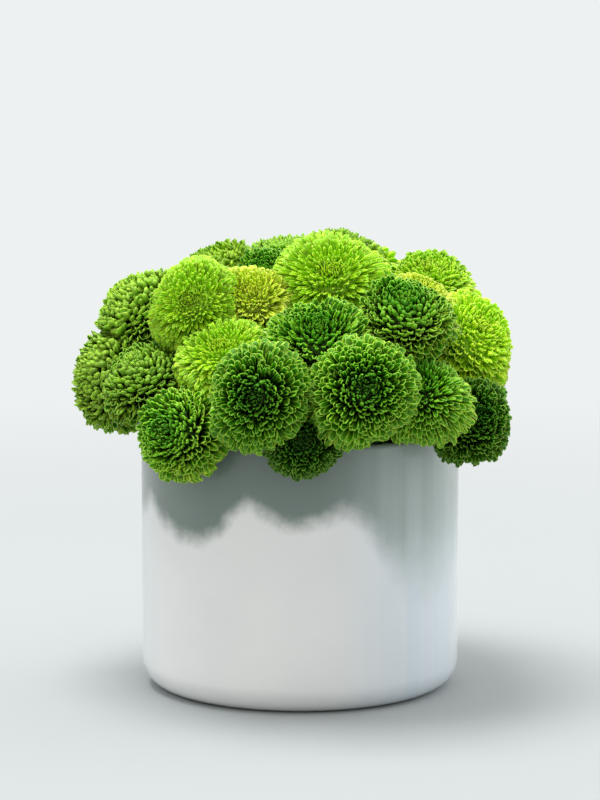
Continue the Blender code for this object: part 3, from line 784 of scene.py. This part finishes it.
def dressed_head(bloom, blooms, number, material):
    """All the florets of one bloom on their core, as one piece that replaces the solid head.

    The core's points that lie past a plane slide back to it towards the head's middle. Florets
    that two heads would crush between them are left out, and so are those that no view reaches.
    """
    rng = np.random.default_rng(SEED + number)
    radius = bloom["radius"]
    style = dict(zip(STYLE_FIELDS, STYLES.get(bloom["name"], STYLES[bloom["colour"]])))
    fineness = style["fine"] * (radius / USUAL_RADIUS) ** 0.5
    polar, turn, pitch = floret_places(radius, fineness, rng)
    facing = np.array(bloom["facing"].to_track_quat("Z", "Y").to_matrix())
    planes = pressing_planes(bloom, blooms)
    tips = on_head(polar, turn, 1.0, radius) @ facing.T
    length = floret_lengths(tips, polar, planes)
    kept = (length > CRUSHED) & in_sight(tips * length[:, None] + np.array(bloom["middle"]), blooms)
    polar, turn, pitch, length = polar[kept], turn[kept], pitch[kept], length[kept]

    points, quads, triangles, marks = core(radius, style["core"])
    for normal, limit, _ in planes:
        depth = points @ facing.T @ normal
        points = points * np.minimum(1, limit / np.maximum(depth, 1e-9))[:, None]
    all_points, all_marks = [points], [marks]
    all_quads, all_triangles = [quads], [triangles]
    first = len(points)
    for group, stations, section in ((polar < BUD_REACH, BUD_STATIONS, BUD_SECTION),
                                     (polar >= BUD_REACH, SPOON_STATIONS, SPOON_SECTION)):
        blades, blade_marks = florets(polar[group], turn[group], pitch[group], radius, style,
                                      stations, section, rng)
        blades = blades * length[group][:, None, None, None]
        count, rings, around, _ = blades.shape
        all_points.append(blades.reshape(-1, 3))
        all_marks.append(blade_marks.reshape(-1, 4))
        sides, ends = blade_faces(count, rings, section, first)
        all_quads.append(sides)
        all_triangles.append(ends)
        first += count * rings * around
    points = np.concatenate(all_points) @ facing.T + np.array(bloom["middle"])
    piece = new_piece("florets_" + bloom["name"], points,
                      [np.concatenate(all_quads), np.concatenate(all_triangles)], material,
                      {"floret": np.concatenate(all_marks)})
    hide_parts("bloom_" + bloom["name"])


def arc(centre_radius, centre_height, size, start, end, steps):
    """Profile points on a circle, from one angle to another, in degrees from outwards."""
    angles = np.radians(np.linspace(start, end, steps))
    return [(centre_radius + size * math.cos(a), centre_height + size * math.sin(a)) for a in angles]


def painted_reflection_line(turn):
    """Height of the line of the painted reflection, its softness and the share of painted sheen, by turn.

    Between the listed points the line runs straight, and a moving average rounds it.
    """
    fine = np.linspace(-180, 180, LINE_STEPS + 1)[:-1]
    height = np.interp(fine, *zip(*PAINTED_REFLECTION_LINE), period=360)
    softness = np.interp(fine, *zip(*PAINTED_REFLECTION_SOFTNESS), period=360)
    beyond = LINE_ROUNDING_STEPS // 2
    weights = np.ones(LINE_ROUNDING_STEPS) / LINE_ROUNDING_STEPS
    around = np.concatenate([height[-beyond:], height, height[:beyond]])
    height = np.convolve(around, weights, "valid")
    degrees = np.degrees(turn)
    return (np.interp(degrees, fine, height, period=360) * MM,
            np.interp(degrees, fine, softness, period=360) * MM,
            np.interp(degrees, *zip(*PAINTED_SHEEN), period=360))


def turned_vase(material):
    """The vase as a turned profile: foot, wall, rim and inside, each a run of arcs and lines.

    The two points on the axis lie far from the line of the painted reflection, so theirs is any height.
    """
    rim = VASE_WALL / 2
    inner = VASE_RADIUS - VASE_WALL
    foot = VASE_RADIUS - FOOT_ROUNDING
    wall_heights = np.linspace(FOOT_ROUNDING, VASE_HEIGHT - rim, WALL_ROWS + 2)[1:-1]
    profile = [(foot - UNDERSIDE_ROW, 0)]
    profile += arc(foot, FOOT_ROUNDING, FOOT_ROUNDING, -90, 0, steps=14)
    profile += [(VASE_RADIUS, height) for height in wall_heights]
    profile += arc(VASE_RADIUS - rim, VASE_HEIGHT - rim, rim, 0, 180, steps=13)
    profile += [(inner, VASE_FLOOR + INNER_ROUNDING + INNER_ROW)]
    profile += arc(inner - INNER_ROUNDING, VASE_FLOOR + INNER_ROUNDING, INNER_ROUNDING, 0, -90, steps=7)
    radii, heights = (np.array(column) for column in zip(*profile))
    turn = np.arange(VASE_STEPS) * 2 * math.pi / VASE_STEPS
    rows = np.stack([radii[:, None] * np.sin(turn), -radii[:, None] * np.cos(turn),
                     np.repeat(heights[:, None], VASE_STEPS, axis=1)], axis=-1)
    points = np.concatenate([rows.reshape(-1, 3), [[0, 0, 0]], [[0, 0, VASE_FLOOR]]])
    ring = np.arange(VASE_STEPS)
    onward = (ring + 1) % VASE_STEPS
    starts = np.arange(len(profile)) * VASE_STEPS
    quads = np.concatenate([np.stack([start + ring, start + onward, after + onward, after + ring], axis=-1)
                            for start, after in zip(starts, starts[1:])])
    bottom = np.stack([onward, ring, np.full(VASE_STEPS, len(points) - 2)], axis=-1)
    inside = np.stack([starts[-1] + ring, starts[-1] + onward, np.full(VASE_STEPS, len(points) - 1)],
                      axis=-1)
    marks = np.zeros((len(points), 4))
    for channel, values in enumerate(painted_reflection_line(turn)):
        marks[:-2, channel] = np.tile(values, len(profile))
    marks[-2:, 0] = POLE_LINE
    marks[-2:, 1] = POLE_SOFTNESS
    piece = new_piece("glazed_vase", points, [quads, np.concatenate([bottom, inside])], material,
                      {"painted_reflection_line": marks})
    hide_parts("vase")


def photograph_camera():
    """The scene's camera at the photograph's place, in a tall frame 800 pixels high.

    It stands on the line through the vase's mouth at LOOK_DOWN, and looks a little higher, so the
    mouth lies MOUTH_PIXELS below the frame's middle.
    """
    data = bpy.data.cameras.new("camera")
    data.sensor_fit = "VERTICAL"
    data.sensor_height = SENSOR_HEIGHT
    data.lens = FOCAL_LENGTH
    camera = scene_object("camera", data)
    camera.location = (0, -CAMERA_DISTANCE * math.cos(LOOK_DOWN),
                       VASE_HEIGHT + CAMERA_DISTANCE * math.sin(LOOK_DOWN))
    raised = math.atan(MOUTH_PIXELS / FOCAL_PIXELS)
    camera.rotation_euler = (math.pi / 2 - (LOOK_DOWN - raised), 0, 0)
    bpy.context.scene.camera = camera


def studio_floor():
    """A matt pale disc that thins away into the backdrop with its distance from the middle."""
    turn = np.arange(FLOOR_STEPS) * 2 * math.pi / FLOOR_STEPS
    mesh = bpy.data.meshes.new("floor")
    mesh.from_pydata([(FLOOR_RADIUS * math.cos(a), FLOOR_RADIUS * math.sin(a), 0) for a in turn],
                     [], [tuple(range(FLOOR_STEPS))])
    floor = scene_object("floor", mesh)
    paint = blank_material("matt_studio_floor")
    matt = add_node(paint, "ShaderNodeBsdfDiffuse", {"Color": linear("#abb0b0")})
    place = add_node(paint, "ShaderNodeTexCoord")
    reach = add_node(paint, "ShaderNodeVectorMath", {"operation": "LENGTH"}, {0: place.outputs["Object"]})
    fade = add_node(paint, "ShaderNodeMapRange",
                    {**SMOOTHED, "From Min": FLOOR_FADE[0], "From Max": FLOOR_FADE[1]},
                    {"Value": reach.outputs["Value"]})
    gone = add_node(paint, "ShaderNodeBsdfTransparent")
    finish_material(paint, add_node(paint, "ShaderNodeMixShader", {},
                                    {0: fade.outputs[0], 1: matt.outputs[0], 2: gone.outputs[0]}))
    mesh.materials.append(paint)


def studio_surround():
    """Soft light from all round, and a pale backdrop that only the camera sees.

    The light's strength is a smooth step of the direction's y, weakest from the camera's side,
    plus one of its height.
    """
    world = bpy.data.worlds.new("studio")
    bpy.context.scene.world = world
    world.use_nodes = True
    seen = world.node_tree.nodes["Background"]
    seen.inputs["Color"].default_value = linear("#eef1f1")
    seen.inputs["Strength"].default_value = 1.0
    where = add_node(world, "ShaderNodeTexCoord")
    axis = add_node(world, "ShaderNodeSeparateXYZ", {}, {0: where.outputs["Generated"]})
    back = add_node(world, "ShaderNodeMapRange",
                    {**SMOOTHED, "From Min": -0.75, "From Max": 0.25, "To Min": 0.68, "To Max": 0.78},
                    {"Value": axis.outputs[1]})
    above = add_node(world, "ShaderNodeMapRange", {**SMOOTHED, "From Max": 0.9, "To Max": 0.42},
                     {"Value": axis.outputs[2]})
    total = add_node(world, "ShaderNodeMath", {"operation": "ADD"},
                     {0: back.outputs[0], 1: above.outputs[0]})
    lighting = add_node(world, "ShaderNodeBackground", {"Color": (1.0, 1.0, 1.0, 1.0)},
                        {"Strength": total.outputs[0]})
    ray = add_node(world, "ShaderNodeLightPath")
    either = add_node(world, "ShaderNodeMixShader", {},
                      {0: ray.outputs["Is Camera Ray"], 1: lighting.outputs[0], 2: seen.outputs[0]})
    output = world.node_tree.nodes["World Output"]
    world.node_tree.links.new(either.outputs[0], output.inputs["Surface"])


def soft_light(name, place, target, size, power):
    """A square soft light aimed at a point."""
    data = bpy.data.lights.new(name, "AREA")
    data.size = size
    data.energy = power
    light = scene_object(name, data)
    light.location = place
    light.rotation_euler = (Vector(target) - Vector(place)).to_track_quat("-Z", "Y").to_euler()


# Colours of each: eye, middle, outer, oldest, then the painted highlight on rims and tips, the painted shade
# at the roots and the painted shade in the hollows
florets_green = fresh_florets("green_ray_florets", "#357014", "#58a81c", "#88bc2e", "#a6cc3c", "#bcde60",
                              "#6a8454", "#86b05c")
florets_lime = fresh_florets("lime_ray_florets", "#84be14", "#a4d61c", "#b0de2c", "#c2e04c", "#d4ee80",
                             "#eef6d6", "#d8eaa0")
florets_yellowing = fresh_florets("yellowing_ray_florets", "#a8c020", "#c2d838", "#cfdf50", "#dce07a",
                                  "#ecf0a0", "#e0e8bc", "#d4de9c")
FLORET_MATERIALS = {"green": florets_green, "lime": florets_lime, "yellowing": florets_yellowing}

blooms = read_blooms()
for number, bloom in enumerate(blooms):
    dressed_head(bloom, blooms, number, FLORET_MATERIALS[bloom["colour"]])

# Colours: grey and white of the painted reflection, the paler painted sheen and rim highlight, and the matt
# foot
glaze = glaze_with_painted_reflection("glossy_glaze_painted_reflection", "#728079", "#ecebe9", "#aebbb8", "#d6d0c4")
turned_vase(glaze)
foam = wet_foam("wet_floral_foam", "#46603c", "#273b26")
stem = fresh_stem("fresh_cut_stem", "#6f9a3a", "#4b7426")
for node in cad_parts:
    if node == "floral_foam" or node.startswith("stem_"):
        for slot in bpy.data.objects[node].material_slots:
            slot.material = foam if node == "floral_foam" else stem

photograph_camera()
studio_floor()
studio_surround()
soft_light("sky_light", place=(-0.22, -0.02, 1.25), target=(0, 0, 0.12), size=0.6, power=14)
soft_light("right_window", place=(0.95, 0.55, 0.40), target=(0, 0, 0.08), size=0.8, power=4)
bpy.context.scene.view_settings.view_transform = "Standard"
